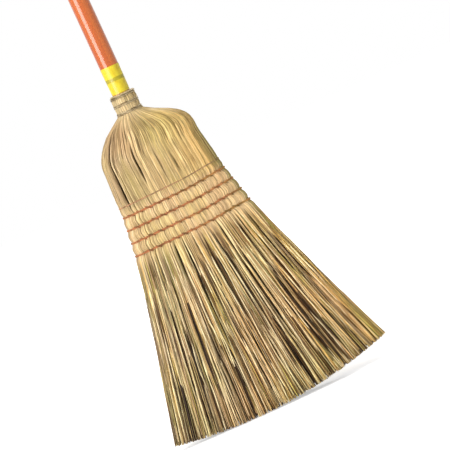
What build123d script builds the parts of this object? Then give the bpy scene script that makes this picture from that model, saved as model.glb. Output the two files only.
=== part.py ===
from build123d import *
import math
import os

# A natural corn broom, standing on its straw, in millimetres and degrees.
# +Z runs up the handle and -Y is the front. The origin is on the floor, under the middle of the
# sweeping edge. The head is crooked on the handle, so the handle's axis lies left of the origin.
# A drop is a distance down the head's own axis from the foot of the neck.

# Handle
HANDLE_DIAMETER = 25.4
HANDLE_LENGTH = 1067.0
HANDLE_BURIED = 100.0
HANDLE_POINT_DIAMETER = 21.0
HANDLE_CROWN = 8.0

# Paper band round the handle above the neck
LABEL_HEIGHT = 37.0
LABEL_THICKNESS = 0.2
LABEL_GAP = 0.3

# Neck and shoulders of the straw head
HEAD_LEAN = 4.0
SEAM_TILT = 1.5
NECK_BULGE = 1.3
COVER_THICKNESS = 5.0
SHOULDER_DROP = 55.0
SHOULDER_WIDTH = 136.0
SHOULDER_SKEW = 3.4
SIDE_LAYER = 1.9

# Sewn part of the head
ROW_COUNT = 4
FIRST_ROW_DROP = 118.0
ROW_PITCH = 17.2
ROW_PINCH = 1.6
FIRST_ROW_WIDTH = 151.0
FIRST_ROW_THICKNESS = 44.0
LAST_ROW_WIDTH = 171.0
LAST_ROW_THICKNESS = 36.0
SEWN_TAIL = 7.5
LEAD_TURN_RISE = 13.6
LEAD_TURN_PINCH = 0.8

# Core of the head, tied on to the buried end of the handle
CORE_WIDTH = 52.0
CORE_SLEEVE_WALL = 5.6

# Binding wires and the nails that hold their ends
NECK_WIRE_DIAMETER = 1.6
NECK_WIRE_GAP = 0.6
NECK_WIRE_GROUPS = 3
NECK_WIRE_SPACING = 11.0
NECK_WIRE_TOP_MARGIN = 3.3
NECK_WIRE_FOOT_MARGIN = 4.7
NECK_WIRE_SINK = 0.3
INNER_WIRE_DIAMETER = 1.2
INNER_WIRE_PITCH = 4.5
INNER_WIRE_TURNS = 9
INNER_WIRE_END_MARGIN = 3.5
WINDING_CLEARANCE = 0.4
NAIL_DIAMETER = 2.0
NAIL_LENGTH = 16.0
NAIL_HEAD_DIAMETER = 4.6
NAIL_HEAD_THICKNESS = 1.0
NAIL_CLEARANCE = 0.1

# Twine
BAND_DIAMETER = 3.0
LEAD_TURN_DIAMETER = 2.0
STITCH_DIAMETER = 2.0
STITCH_PITCH = 12.6
STITCH_SLANT = 6.0
STITCH_RISE = 4.5
STITCH_BEND_RADIUS = 1.4
STITCH_CLEARANCE = 0.6
STITCH_EDGE_MARGIN = 10.0

# Loose sweeping straw
SWEEP_DROP = 427.5
SWEEP_WIDTH = 310.0
SWEEP_THICKNESS = 46.0
TRIM_RADIUS = 735.0
STANDING_FLAT = 0.5
BACKING_SLICE = 5.0
STRAND_ROOT = 1.8
STRAND_TIP = 2.8
COVER_STRAND_GAP = 0.5
INNER_STRAND_GAP = 1.4
INNER_LAYER_GAP = 1.8

# Windings are counted in turns from the right-hand side, and start and end at the back
BACK_TURN = -0.25
GROUP_TURNS = 1.5
CROSSING_TURNS = 0.5

# Shape of the head's cross-section and shoulder line
OVAL_SPLIT = 80.0
SHOULDER_POWER = 2.6
THICKNESS_POWER = 2.0
SHOULDER_SECTIONS = 8
SHOULDER_CROWDING = 1.5
INSIDE_SECTIONS_SKIPPED = 2

# Sizes worked out from those above
handle_radius = HANDLE_DIAMETER / 2
neck_radius = handle_radius + COVER_THICKNESS
groove_radius = neck_radius - NECK_BULGE
wound_neck = NECK_WIRE_SPACING * (NECK_WIRE_GROUPS - 1)
neck_height = NECK_WIRE_TOP_MARGIN + wound_neck + NECK_WIRE_FOOT_MARGIN
sleeve_radius = handle_radius + CORE_SLEEVE_WALL
sleeve_height = INNER_WIRE_PITCH * INNER_WIRE_TURNS + 2 * INNER_WIRE_END_MARGIN
winding_radius = sleeve_radius + INNER_WIRE_DIAMETER + WINDING_CLEARANCE
shoulder_thickness = 2 * (winding_radius + SIDE_LAYER + COVER_THICKNESS)
last_row_drop = FIRST_ROW_DROP + ROW_PITCH * (ROW_COUNT - 1)
sewn_end_drop = last_row_drop + SEWN_TAIL
lead_turn_drop = FIRST_ROW_DROP - LEAD_TURN_RISE
trim_centre_drop = SWEEP_DROP - TRIM_RADIUS
corner_drop = trim_centre_drop + math.sqrt(TRIM_RADIUS**2 - (SWEEP_WIDTH / 2) ** 2)

lean_sin = math.sin(math.radians(HEAD_LEAN))
lean_cos = math.cos(math.radians(HEAD_LEAN))
tilt_sin = math.sin(math.radians(SEAM_TILT))
tilt_cos = math.cos(math.radians(SEAM_TILT))

handle_x = -corner_drop * lean_sin
neck_foot_z = TRIM_RADIUS + trim_centre_drop * lean_cos - STANDING_FLAT
neck_top_z = neck_foot_z + neck_height
handle_end_z = neck_top_z - HANDLE_BURIED
handle_top_z = handle_end_z + HANDLE_LENGTH
label_low_z = neck_top_z + LABEL_GAP
label_top_z = label_low_z + LABEL_HEIGHT
reach = 2 * (SWEEP_WIDTH + SWEEP_DROP)

cover_strand_pitch = STRAND_ROOT + COVER_STRAND_GAP
inner_strand_pitch = STRAND_ROOT + INNER_STRAND_GAP
inner_layer_pitch = STRAND_ROOT + INNER_LAYER_GAP

neck_wire_pitch = NECK_WIRE_DIAMETER + NECK_WIRE_GAP
neck_wire_radius = groove_radius + NECK_WIRE_DIAMETER / 2 - NECK_WIRE_SINK
turns_per_group = GROUP_TURNS + CROSSING_TURNS
neck_wire_last_turn = BACK_TURN + turns_per_group * NECK_WIRE_GROUPS
inner_wire_last_turn = BACK_TURN + INNER_WIRE_TURNS


def row_drop(row):
    """Drop of a stitch row, the first row being 0."""
    return FIRST_ROW_DROP + ROW_PITCH * row


def axis_point(drop):
    """Point of the head's axis, which follows the handle above the foot of the neck."""
    if drop < 0:
        return Vector(handle_x, 0, neck_foot_z - drop)
    return Vector(handle_x + drop * lean_sin, 0, neck_foot_z - drop * lean_cos)


def fan_point(drop, across, depth):
    """Point of the leaning head, from its drop, its place across the head and its depth."""
    return axis_point(drop) + Vector(across * lean_cos, depth, across * lean_sin)


def shoulder_skew(drop):
    """How far the right shoulder stands out more than the left one."""
    if not 0 < drop < SHOULDER_DROP:
        return 0.0
    return SHOULDER_SKEW * math.sin(math.pi * drop / SHOULDER_DROP) ** 2


def station(drop):
    """Plane of a cross-section of the head, with X across the head and Z up."""
    if drop <= 0:
        return Plane(origin=axis_point(drop), x_dir=(1, 0, 0), z_dir=(0, 0, 1))
    across = Vector(tilt_cos, 0, tilt_sin)
    return Plane(
        origin=axis_point(drop) + across * shoulder_skew(drop),
        x_dir=across,
        z_dir=(-tilt_sin, 0, tilt_cos),
    )


def between(start, end, fraction):
    """Value a fraction of the way from start to end."""
    return start + (end - start) * fraction


def half_sizes(drop):
    """Half width and half thickness of the head, before any twine draws it in."""
    if drop < SHOULDER_DROP:
        left = 1 - drop / SHOULDER_DROP
        width = between(neck_radius, SHOULDER_WIDTH / 2, 1 - left**SHOULDER_POWER)
        thickness = between(neck_radius, shoulder_thickness / 2, 1 - left**THICKNESS_POWER)
    elif drop < FIRST_ROW_DROP:
        share = (drop - SHOULDER_DROP) / (FIRST_ROW_DROP - SHOULDER_DROP)
        width = between(SHOULDER_WIDTH, FIRST_ROW_WIDTH, share) / 2
        thickness = between(shoulder_thickness, FIRST_ROW_THICKNESS, share) / 2
    else:
        share = (drop - FIRST_ROW_DROP) / (last_row_drop - FIRST_ROW_DROP)
        width = between(FIRST_ROW_WIDTH, LAST_ROW_WIDTH, share) / 2
        thickness = between(FIRST_ROW_THICKNESS, LAST_ROW_THICKNESS, share) / 2
    return width, thickness


class Oval:
    """Oval of four tangent arcs, from its half width and half thickness."""

    def __init__(self, half_width, half_thickness):
        split = math.radians(OVAL_SPLIT)
        spread = (half_width - half_thickness) / (math.cos(split) + math.sin(split) - 1)
        self.end_centre = spread * math.cos(split)
        self.side_centre = spread * math.sin(split)
        self.end_radius = half_width - self.end_centre
        self.side_radius = half_thickness + self.side_centre
        self.meeting = self.side_radius * math.cos(split)

    def wire(self):
        """Closed outline, from the right end round."""
        side = 180 - 2 * OVAL_SPLIT
        arcs = [
            CenterArc((self.end_centre, 0), self.end_radius, -OVAL_SPLIT, 2 * OVAL_SPLIT),
            CenterArc((0, -self.side_centre), self.side_radius, OVAL_SPLIT, side),
            CenterArc((-self.end_centre, 0), self.end_radius, 180 - OVAL_SPLIT, 2 * OVAL_SPLIT),
            CenterArc((0, self.side_centre), self.side_radius, 180 + OVAL_SPLIT, side),
        ]
        return Wire([arc.edge() for arc in arcs])

    def depth(self, across):
        """Half thickness at a place across the oval."""
        if abs(across) <= self.meeting:
            return math.sqrt(self.side_radius**2 - across**2) - self.side_centre
        return math.sqrt(max(0.0, self.end_radius**2 - (abs(across) - self.end_centre) ** 2))


def head_oval(drop, inset=0.0):
    """Oval of the head at a drop, drawn in by an inset."""
    width, thickness = half_sizes(drop)
    return Oval(width - inset, thickness - inset)


def placed_face(drop, oval):
    """Face of an oval, at its station."""
    return station(drop) * Face(oval.wire())


def group_height(group):
    """Height of a group of neck wire turns above the foot of the neck."""
    return neck_height - NECK_WIRE_TOP_MARGIN - NECK_WIRE_SPACING * group


def neck_sections():
    """Round sections of the neck, drawn in where the wire is wound."""
    narrow = Oval(groove_radius, groove_radius)
    full = Oval(neck_radius, neck_radius)
    sections = [placed_face(-neck_height, narrow)]
    for group in range(NECK_WIRE_GROUPS):
        height = group_height(group)
        sections.append(placed_face(-height, narrow))
        if group < NECK_WIRE_GROUPS - 1:
            sections.append(placed_face(-height + NECK_WIRE_SPACING / 2, full))
    return sections


def twine_pinch(drop):
    """How far the twine nearest to a drop draws the straw in."""
    pulls = [(lead_turn_drop, LEAD_TURN_PINCH)]
    pulls += [(row_drop(row), ROW_PINCH) for row in range(ROW_COUNT)]
    pinch = 0.0
    for place, pull in pulls:
        away = min(1.0, abs(drop - place) / (ROW_PITCH / 2))
        pinch = max(pinch, pull * (1 + math.cos(math.pi * away)) / 2)
    return pinch


def shoulder_drops():
    """Drops of the sections of the shoulders, closer together at the neck."""
    steps = [step / SHOULDER_SECTIONS for step in range(1, SHOULDER_SECTIONS + 1)]
    return [SHOULDER_DROP * step**SHOULDER_CROWDING for step in steps]


def sewn_drops():
    """Drops of the sections below the shoulders, four to each row."""
    top = lead_turn_drop - ROW_PITCH / 2
    quarters = int((last_row_drop - top) / (ROW_PITCH / 4))
    drops = [last_row_drop - ROW_PITCH / 4 * quarter for quarter in range(quarters + 1)]
    return sorted([top, lead_turn_drop, sewn_end_drop, *drops])


def head_outside():
    """Outside of the whole straw head, from the neck's top to the end of the sewn part."""
    sections = neck_sections()
    for drop in [0.0, *shoulder_drops(), *sewn_drops()]:
        sections.append(placed_face(drop, head_oval(drop, twine_pinch(drop))))
    return loft(sections, ruled=True)


def head_inside():
    """What the cover straw wraps, from inside the handle down to the end of the sewn part."""
    start_radius = HANDLE_POINT_DIAMETER / 2
    sections = [placed_face(0.0, Oval(start_radius, start_radius))]
    for drop in [*shoulder_drops()[INSIDE_SECTIONS_SKIPPED:], *sewn_drops()]:
        sections.append(placed_face(drop, head_oval(drop, COVER_THICKNESS + twine_pinch(drop))))
    return loft(sections, ruled=True)


def leaning_slab(low, high):
    """Slab across the leaning head, between two places across it."""
    middle = Location(axis_point(0.0), (0, -HEAD_LEAN, 0))
    return middle * Pos((low + high) / 2, 0, 0) * Box(high - low, reach, reach)


def depth_slab(low, high):
    """Slab between two depths."""
    return Pos(0, (low + high) / 2, 0) * Box(reach, high - low, reach)


def taper_radius(height):
    """Radius of the handle's lower end, which tapers from the top of the label to its point."""
    share = (height - handle_end_z) / (label_top_z - handle_end_z)
    return between(HANDLE_POINT_DIAMETER / 2, handle_radius, share)


def handle():
    """Turned wooden handle, tapered at its lower end and domed on top."""
    shoulder_z = handle_top_z - HANDLE_CROWN
    crown_sphere = (handle_radius**2 + HANDLE_CROWN**2) / (2 * HANDLE_CROWN)
    outline = [
        Line((0, handle_end_z), (HANDLE_POINT_DIAMETER / 2, handle_end_z)),
        Line((HANDLE_POINT_DIAMETER / 2, handle_end_z), (handle_radius, label_top_z)),
        Line((handle_radius, label_top_z), (handle_radius, shoulder_z)),
        RadiusArc((handle_radius, shoulder_z), (0, handle_top_z), -crown_sphere),
        Line((0, handle_top_z), (0, handle_end_z)),
    ]
    profile = Plane.XZ * make_face([line.edge() for line in outline])
    return Pos(handle_x, 0, 0) * revolve(profile, Axis.Z)


def round_post(radius, low, height):
    """Round post on the handle's axis."""
    return Pos(handle_x, 0, low) * extrude(Circle(radius), height)


def handle_label():
    """Paper band on the taper of the handle."""
    low_radius = taper_radius(label_low_z)
    corners = [
        (low_radius, label_low_z),
        (low_radius + LABEL_THICKNESS, label_low_z),
        (handle_radius + LABEL_THICKNESS, label_top_z),
        (handle_radius, label_top_z),
    ]
    profile = Plane.XZ * make_face(Polyline(*corners, close=True).edges())
    return Pos(handle_x, 0, 0) * revolve(profile, Axis.Z)


def biarc(start, start_way, end, end_way):
    """Two arcs that leave start and reach end along the given ways."""
    chord = end - start
    both = start_way + end_way
    turn = 2 * (1 - start_way.dot(end_way))
    root = math.sqrt(chord.dot(both) ** 2 + turn * chord.dot(chord))
    length = (root - chord.dot(both)) / turn
    joint = (start + end + (start_way - end_way) * length) / 2
    joint_way = (end - end_way * length) - (start + start_way * length)
    return [
        Edge.make_tangent_arc(start, start_way, joint),
        Edge.make_tangent_arc(joint, joint_way.normalized(), end),
    ]


def tube(path, diameter):
    """Round tube along a path."""
    start = Plane(origin=path @ 0, z_dir=path % 0)
    return sweep(start * Circle(diameter / 2), path=path)


def winding_path(point, last_turn, end_run):
    """Path of a winding in quarter turns, with straight ends. point gives a place from a turn."""

    def way(turn):
        step = 1e-4
        return (point(turn + step) - point(turn - step)).normalized()

    quarters = round((last_turn - BACK_TURN) * 4)
    turns = [BACK_TURN + quarter / 4 for quarter in range(quarters + 1)]
    lead_in = way(turns[0]) * end_run
    lead_out = way(turns[-1]) * end_run
    edges = [Edge.make_line(point(turns[0]) - lead_in, point(turns[0]))]
    for here, there in zip(turns, turns[1:]):
        edges += biarc(point(here), way(here), point(there), way(there))
    edges.append(Edge.make_line(point(turns[-1]), point(turns[-1]) + lead_out))
    return Wire(edges)


def least_gap(path, diameter, turn_length):
    """Least gap of a wound tube to itself, half a turn or more away, measured on points."""
    spacing = diameter / 2
    count = int(path.length / spacing)
    places = [tuple(path @ (index / count)) for index in range(count + 1)]
    apart = int(turn_length / 2 / spacing)
    least = math.inf
    for index, place in enumerate(places):
        for other in places[index + apart:]:
            least = min(least, math.dist(place, other))
    return least - diameter


def on_winding(turn, radius, height):
    """Place on a winding round the handle. Turn 0 is at the right and a quarter is in front."""
    angle = 2 * math.pi * turn
    return Vector(handle_x + radius * math.cos(angle), -radius * math.sin(angle), height)


def smooth_step(value):
    """Smooth rise from 0 to 1."""
    clamped = min(1.0, max(0.0, value))
    return clamped**2 * (3 - 2 * clamped)


def neck_wire_point(turn):
    """Place on the neck wire: close turns for each group, then a crossing down the back."""
    crossings = []
    for group in range(NECK_WIRE_GROUPS - 1):
        crossings.append((turn - turns_per_group * group - GROUP_TURNS) / CROSSING_TURNS)
    first_drop = neck_wire_pitch * (turn - GROUP_TURNS / 2)
    step_down = NECK_WIRE_SPACING - turns_per_group * neck_wire_pitch
    drop = first_drop + step_down * sum(smooth_step(crossing) for crossing in crossings)
    lifts = [math.sin(math.pi * crossing) ** 2 for crossing in crossings if 0 < crossing < 1]
    radius = neck_wire_radius + NECK_BULGE * sum(lifts)
    return on_winding(turn, radius, neck_foot_z + group_height(0) - drop)


def inner_wire_point(turn):
    """Place on the inner wire, which climbs the core steadily from the handle's end."""
    radius = sleeve_radius + INNER_WIRE_DIAMETER / 2
    height = handle_end_z + INNER_WIRE_END_MARGIN + INNER_WIRE_PITCH * turn
    return on_winding(turn, radius, height)


def wound_wire(name, point, last_turn, diameter):
    """Wire winding, with its least gap to itself printed."""
    path = winding_path(point, last_turn, diameter)
    gap = least_gap(path, diameter, 2 * math.pi * neck_radius)
    print(f"{name}: least gap between turns {gap:.2f} mm")
    return tube(path, diameter)


def wire_nail(end, side, wire_diameter):
    """Nail behind a wire's end, driven forward into the handle. side is 1 to the right."""
    shift = side * (wire_diameter + NAIL_DIAMETER / 2 + NAIL_CLEARANCE)
    under_head = end.Y + wire_diameter / 2 + NAIL_CLEARANCE
    shank = extrude(Plane.XZ * Circle(NAIL_DIAMETER / 2), NAIL_LENGTH)
    head = extrude(Plane.XZ * Circle(NAIL_HEAD_DIAMETER / 2), -NAIL_HEAD_THICKNESS)
    return Pos(end.X + shift, under_head, end.Z) * (shank + head)


def wire_nails():
    """The nails at both ends of the neck wire and at the start of the inner wire."""
    return [
        wire_nail(neck_wire_point(BACK_TURN), -1, NECK_WIRE_DIAMETER),
        wire_nail(neck_wire_point(neck_wire_last_turn), 1, NECK_WIRE_DIAMETER),
        wire_nail(inner_wire_point(BACK_TURN), -1, INNER_WIRE_DIAMETER),
    ]


def twine_band(drop, pinch, diameter):
    """One turn of twine round the head, half sunk in the straw."""
    path = station(drop) * head_oval(drop, pinch).wire()
    return tube(path, diameter)


def rounded_path(points, radius):
    """Straight runs joined by tangent arcs."""
    edges = []
    run_start = points[0]
    for before, corner, after in zip(points, points[1:], points[2:]):
        way_in = (corner - before).normalized()
        way_out = (after - corner).normalized()
        half_turn = math.radians(way_in.get_angle(way_out)) / 2
        setback = radius * math.tan(half_turn)
        arc_start = corner - way_in * setback
        arc_end = corner + way_out * setback
        edges.append(Edge.make_line(run_start, arc_start))
        edges.append(Edge.make_tangent_arc(arc_start, way_in, arc_end))
        run_start = arc_end
    edges.append(Edge.make_line(run_start, points[-1]))
    return Wire(edges)


def stitch_places(oval):
    """Places of the stitches across a row."""
    half_row = oval.end_centre + oval.end_radius - STITCH_EDGE_MARGIN
    count = 2 * int(half_row / STITCH_PITCH) + 1
    return [STITCH_PITCH * (index - (count - 1) / 2) for index in range(count)]


def stitch_corners(drop):
    """Corners of a row's thread at its station, two and two the ends of a run through the head."""
    oval = head_oval(drop, ROW_PINCH)
    standoff = (BAND_DIAMETER + STITCH_DIAMETER) / 2 + STITCH_CLEARANCE
    points = []
    for place in stitch_places(oval):
        upper = place - STITCH_SLANT / 2
        lower = place + STITCH_SLANT / 2
        upper_depth = oval.depth(upper) + standoff
        lower_depth = oval.depth(lower) + standoff
        points += [
            Vector(upper, upper_depth, STITCH_RISE),
            Vector(upper, -upper_depth, STITCH_RISE),
            Vector(lower, -lower_depth, -STITCH_RISE),
            Vector(lower, lower_depth, -STITCH_RISE),
        ]
    points[0] = Vector(points[0].X, 0, points[0].Z)
    points[-1] = Vector(points[-1].X, 0, points[-1].Z)
    return [station(drop).from_local_coords(point) for point in points]


def lock_stitch(drop):
    """Thread sewn through the head, slanting over the band at each stitch, front and back."""
    return tube(rounded_path(stitch_corners(drop), STITCH_BEND_RADIUS), STITCH_DIAMETER)


def stitch_holes(drop):
    """The straight holes that a row's thread takes through the head."""
    corners = stitch_corners(drop)
    runs = zip(corners[::2], corners[1::2])
    return [tube(Edge.make_line(start, end), STITCH_DIAMETER) for start, end in runs]


def trim_centre():
    """Centre of the arc along which the straw is trimmed, on the head's axis carried upward."""
    return Vector(
        handle_x + trim_centre_drop * lean_sin, 0, neck_foot_z - trim_centre_drop * lean_cos
    )


def to_trim(root, way):
    """How many times a straw's way reaches from its root to the trimmed edge or the floor."""
    offset = root - trim_centre()
    steep = way.X**2 + way.Z**2
    along = way.X * offset.X + way.Z * offset.Z
    beyond = offset.X**2 + offset.Z**2 - TRIM_RADIUS**2
    arc = (math.sqrt(along**2 - steep * beyond) - along) / steep
    return min(arc, -root.Z / way.Z)


def outermost_straw():
    """Place across the head of the outermost straw, at the end of the sewn part."""
    oval = head_oval(sewn_end_drop, COVER_THICKNESS / 2)
    return oval.end_centre + math.sqrt(oval.end_radius**2 - STRAND_ROOT**2)


def strand(across, depth):
    """One straw: a square taper from inside the backing slice to the trimmed edge."""
    in_slice = Vector(across, depth, -BACKING_SLICE / 2)
    root = station(sewn_end_drop).from_local_coords(in_slice)
    spread = (SWEEP_WIDTH - STRAND_TIP) / 2 / outermost_straw()
    thicken = SWEEP_THICKNESS / 2 / half_sizes(sewn_end_drop)[1]
    way = fan_point(corner_drop, across * spread, depth * thicken) - root
    tip = root + way * to_trim(root, way)
    ends = [
        Pos(root) * Rectangle(STRAND_ROOT, STRAND_ROOT),
        Pos(tip) * Rectangle(STRAND_TIP, STRAND_TIP),
    ]
    return loft(ends, ruled=True)


def spaced(low, high, pitch):
    """Evenly spaced places from low to high, pitch apart or more."""
    count = max(1, int((high - low) / pitch))
    return [between(low, high, index / count) for index in range(count + 1)]


def cover_strands(side):
    """Straws of one cover, along the middle of its thickness. side is -1 in front."""
    oval = head_oval(sewn_end_drop, COVER_THICKNESS / 2)
    outermost = outermost_straw()
    places = spaced(-outermost, outermost, cover_strand_pitch)
    return [strand(across, side * oval.depth(across)) for across in places]


def inner_strands(low, high):
    """Straws inside the covers, between two places across the head."""
    oval = head_oval(sewn_end_drop, COVER_THICKNESS + STRAND_ROOT)
    edge = oval.end_centre + oval.end_radius
    first = max(-edge, low + STRAND_ROOT)
    last = min(edge, high - STRAND_ROOT)
    layers = int(oval.depth(0.0) / inner_layer_pitch)
    strands = []
    for layer in range(-layers, layers + 1):
        depth = layer * inner_layer_pitch
        stagger = inner_strand_pitch / 2 * (layer % 2)
        places = spaced(first + stagger, last - stagger, inner_strand_pitch)
        strands += [strand(across, depth) for across in places if oval.depth(across) >= abs(depth)]
    return strands


def backing_slice(face):
    """Slice of the head just below the sewn part."""
    plane = station(sewn_end_drop)
    return extrude(plane * face, BACKING_SLICE, dir=plane.z_dir * -1)


def slice_slab(low, high):
    """Slab across the backing slice, between two places across the head."""
    return station(sewn_end_drop) * Pos((low + high) / 2, 0, 0) * Box(high - low, reach, reach)


def fused(backing, strands):
    """A slice of backing and its straws, as one solid."""
    return backing.fuse(Compound([straw.solid() for straw in strands]))


def sweep_straw():
    """The five bundles of loose straw, each fused to its slice of backing."""
    outer = Face(head_oval(sewn_end_drop).wire())
    inner = Face(head_oval(sewn_end_drop, COVER_THICKNESS).wire())
    ring = backing_slice(outer - inner)
    middle = backing_slice(inner)
    half_core = CORE_WIDTH / 2
    far = reach / 2
    bundles = {
        "front_sweep_straw": (ring & depth_slab(-far, 0), cover_strands(-1)),
        "back_sweep_straw": (ring & depth_slab(0, far), cover_strands(1)),
    }
    sides = {
        "left_sweep_straw": (-far, -half_core),
        "core_sweep_straw": (-half_core, half_core),
        "right_sweep_straw": (half_core, far),
    }
    for name, (low, high) in sides.items():
        bundles[name] = (middle & slice_slab(low, high), inner_strands(low, high))
    count = sum(len(strands) for backing, strands in bundles.values())
    print(f"sweep straw: {count} strands")
    return {name: fused(backing, strands) for name, (backing, strands) in bundles.items()}


def winding_room():
    """Space round the core that the inner wire is wound in."""
    return round_post(winding_radius, handle_end_z, sleeve_height)


def core_block(inside):
    """The core's straw below the handle's end."""
    below = Pos(0, 0, handle_end_z - reach / 2) * Box(reach, reach, reach)
    return inside & leaning_slab(-CORE_WIDTH / 2, CORE_WIDTH / 2) & below


def covers(hollow_head, cutters):
    """The front and back cover straw."""
    front = hollow_head & depth_slab(-reach / 2, 0)
    back = hollow_head & depth_slab(0, reach / 2)
    return {"front_cover_straw": front - cutters, "back_cover_straw": back - cutters}


def bunches(inside, cutters):
    """The core and the two shoulder bunches that fill the covers."""
    block = core_block(inside)
    sleeve = round_post(sleeve_radius, handle_end_z, sleeve_height)
    sides = inside - block - winding_room()
    left = sides & leaning_slab(-reach / 2, 0)
    right = sides & leaning_slab(0, reach / 2)
    return {
        "core_bunch": block + sleeve - cutters,
        "left_shoulder_bunch": left - cutters,
        "right_shoulder_bunch": right - cutters,
    }


def broom():
    """Every piece of the broom, by name."""
    stick = handle()
    nails = wire_nails()
    neck_wire = wound_wire("neck_binding_wire", neck_wire_point, neck_wire_last_turn,
                           NECK_WIRE_DIAMETER)
    inner_wire = wound_wire("inner_binding_wire", inner_wire_point, inner_wire_last_turn,
                            INNER_WIRE_DIAMETER)
    bands = [twine_band(row_drop(row), ROW_PINCH, BAND_DIAMETER) for row in range(ROW_COUNT)]
    lead_turn = twine_band(lead_turn_drop, LEAD_TURN_PINCH, LEAD_TURN_DIAMETER)
    holes = [hole for row in range(ROW_COUNT) for hole in stitch_holes(row_drop(row))]
    outside = head_outside()
    inside = head_inside()

    pieces = {
        "handle": stick - nails,
        "handle_label": handle_label(),
        "neck_binding_wire": neck_wire,
        "inner_binding_wire": inner_wire,
        "wire_nails": Compound([nail.solid() for nail in nails]),
        "lead_turn_twine": lead_turn,
    }
    for row in range(ROW_COUNT):
        pieces[f"stitch_band_{row + 1}"] = bands[row]
        pieces[f"lock_stitch_{row + 1}"] = lock_stitch(row_drop(row))
    hollow_head = outside - inside - winding_room()
    pieces.update(covers(hollow_head, [stick, neck_wire, lead_turn, *nails, *bands, *holes]))
    pieces.update(bunches(inside, [stick, *nails, *holes]))
    pieces.update(sweep_straw())
    return pieces


os.makedirs("parts", exist_ok=True)
for name, piece in broom().items():
    export_step(piece, f"parts/{name}.step")
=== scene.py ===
import math
from collections import namedtuple

import bpy
import numpy as np
from mathutils import Matrix, Vector


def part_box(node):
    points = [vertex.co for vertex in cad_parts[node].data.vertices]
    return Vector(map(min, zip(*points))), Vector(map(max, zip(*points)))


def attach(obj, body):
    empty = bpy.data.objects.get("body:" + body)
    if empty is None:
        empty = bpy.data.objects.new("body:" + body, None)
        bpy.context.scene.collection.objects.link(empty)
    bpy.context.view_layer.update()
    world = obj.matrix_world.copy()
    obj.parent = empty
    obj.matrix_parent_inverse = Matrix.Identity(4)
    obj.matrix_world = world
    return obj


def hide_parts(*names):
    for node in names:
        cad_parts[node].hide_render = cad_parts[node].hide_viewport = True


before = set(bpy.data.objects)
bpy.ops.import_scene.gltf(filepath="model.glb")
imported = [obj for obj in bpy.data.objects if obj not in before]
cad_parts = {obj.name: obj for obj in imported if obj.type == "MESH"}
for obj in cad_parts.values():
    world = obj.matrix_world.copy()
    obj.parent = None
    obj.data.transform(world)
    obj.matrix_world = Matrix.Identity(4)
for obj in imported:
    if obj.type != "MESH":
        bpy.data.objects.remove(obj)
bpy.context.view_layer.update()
random = np.random.default_rng(7)

# Looks of the corn broom. Lengths are in millimetres until a mesh is made, in the CAD model's frame.
# A drop is a distance down the head's own axis from the foot of the neck. A share is a place on one
# face of the head, from 0 at its right edge to 1 at its left edge. Values with ACROSS in their names
# are places from -1 at the left edge to 1 at the right edge. Most pairs of numbers are spans.
MM = 0.001
LEAST_LENGTH = 1e-9
FRONT = -1
BACK = 1

# The head's shape, as the CAD model has it
NECK_HEIGHT = 30.0
NECK_RADIUS = 17.7
GROOVE_RADIUS = 16.4
WIRE_HEIGHTS = [26.7, 15.7, 4.7]
BULGE_HEIGHTS = [21.2, 10.2]
HEAD_LEAN = math.radians(4.0)
SEAM_TILT = math.radians(1.5)
SEAM_TILT_DROP = 20.0
SHOULDER_DROP = 55.0
SHOULDER_WIDTH = 136.0
SHOULDER_THICKNESS = 53.6
SHOULDER_SKEW = 3.4
SHOULDER_POWER = 2.6
THICKNESS_POWER = 2.0
ROWS = 4
ROW_PITCH = 17.2
FIRST_ROW_DROP = 118.0
ROW_DROPS = [FIRST_ROW_DROP + ROW_PITCH * row for row in range(ROWS)]
ROW_PINCH = 1.6
FIRST_ROW_WIDTH = 151.0
FIRST_ROW_THICKNESS = 44.0
LAST_ROW_WIDTH = 171.0
LAST_ROW_THICKNESS = 36.0
LEAD_TURN_DROP = 104.4
LEAD_TURN_PINCH = 0.8
SEWN_END_DROP = 177.1
SWEEP_DROP = 427.5
SWEEP_WIDTH = 310.0
SWEEP_THICKNESS = 46.0
SWEEP_BOW = 2.0
TRIM_RADIUS = 735.0
TRIM_CENTRE_DROP = SWEEP_DROP - TRIM_RADIUS
CORNER_DROP = TRIM_CENTRE_DROP + math.sqrt(TRIM_RADIUS**2 - (SWEEP_WIDTH / 2) ** 2)
STANDING_FLAT = 0.5
HANDLE_X = -CORNER_DROP * math.sin(HEAD_LEAN)
NECK_FOOT_Z = TRIM_RADIUS + TRIM_CENTRE_DROP * math.cos(HEAD_LEAN) - STANDING_FLAT
OVAL_SPLIT = math.radians(80.0)
COVER_THICKNESS = 5.0
CORE_HALF_WIDTH = 26.0

# What the photograph shows besides: rows that rise at the right, and straw that flares at the left
ROW_RISE = 3.2
ROW_RISE_REACH = (12.0, 78.0)
LEFT_FLARE = 3.2
LEFT_FLARE_SPAN = (0.1, 1.0)

# Cover straw, in layers from the outside inwards. Half of it starts at the neck's top, the rest late.
COVER_STRAWS = 128
COVER_LAYERS = range(3)
COVER_PLACES = (0.1, 0.9)
COVER_SIZES = (0.8, 1.25)
COVER_TOP_RINGS = [15, 9, 9]
RINGS_PER_ROW = 4
COVER_LOOSE_RINGS = 22
COVER_SIDES = [5, 4, 4]
COVER_WANDER = 0.006
COVER_SINK = 1.8
LAYER_STEP = 1.7
LAYER_SCATTER = 0.4
LAYER_WANDER = 0.003
STRAW_RADIUS = 0.95
STRAW_SIDES = 4
TIP_RADIUS = 0.66
NECK_THINNESS = 0.72
NECK_THIN_DROP = 45.0
NECK_EDGE = 0.3
LATE_STARTS = (-6.0, 48.0)
LATE_BURIED = 2.4
LATE_RISE = 16.0

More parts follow.
